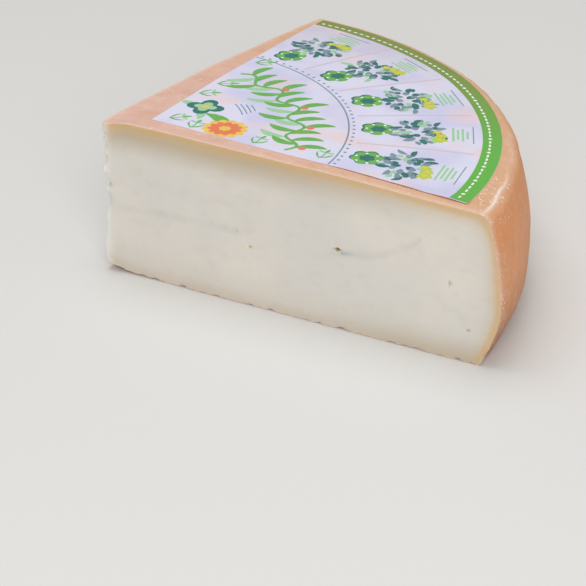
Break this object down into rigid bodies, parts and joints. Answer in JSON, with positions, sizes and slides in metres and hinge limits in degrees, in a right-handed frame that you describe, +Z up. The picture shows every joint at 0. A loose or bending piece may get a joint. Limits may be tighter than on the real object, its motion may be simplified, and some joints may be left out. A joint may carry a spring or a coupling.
{
  "type": "morbier cheese",
  "caption": "Quarter of a pressed cheese wheel with a washed rind, a dark ash line through the pale paste and a round-edged paper label on top.",
  "frame": {"origin": "centre of the bounding box on the plane of the flat base", "axes": "+Z up through the thickness; the front cut faces -Y, the back cut faces -X, and the two cuts meet at the tip"},
  "size_m": [0.1735, 0.1626, 0.0644],
  "materials": {
    "paste_and_rind": "smooth moist ivory paste with a faint sheen; dry matt apricot rind with pale bloom",
    "ash": "soft matt blue-grey",
    "label_paper": "satin printed paper, pale lilac with a green border"
  },
  "bodies": {
    "root": {"cheese": "paste_and_rind", "ash_layer": "ash", "label": "label_paper"}
  },
  "joints": []
}
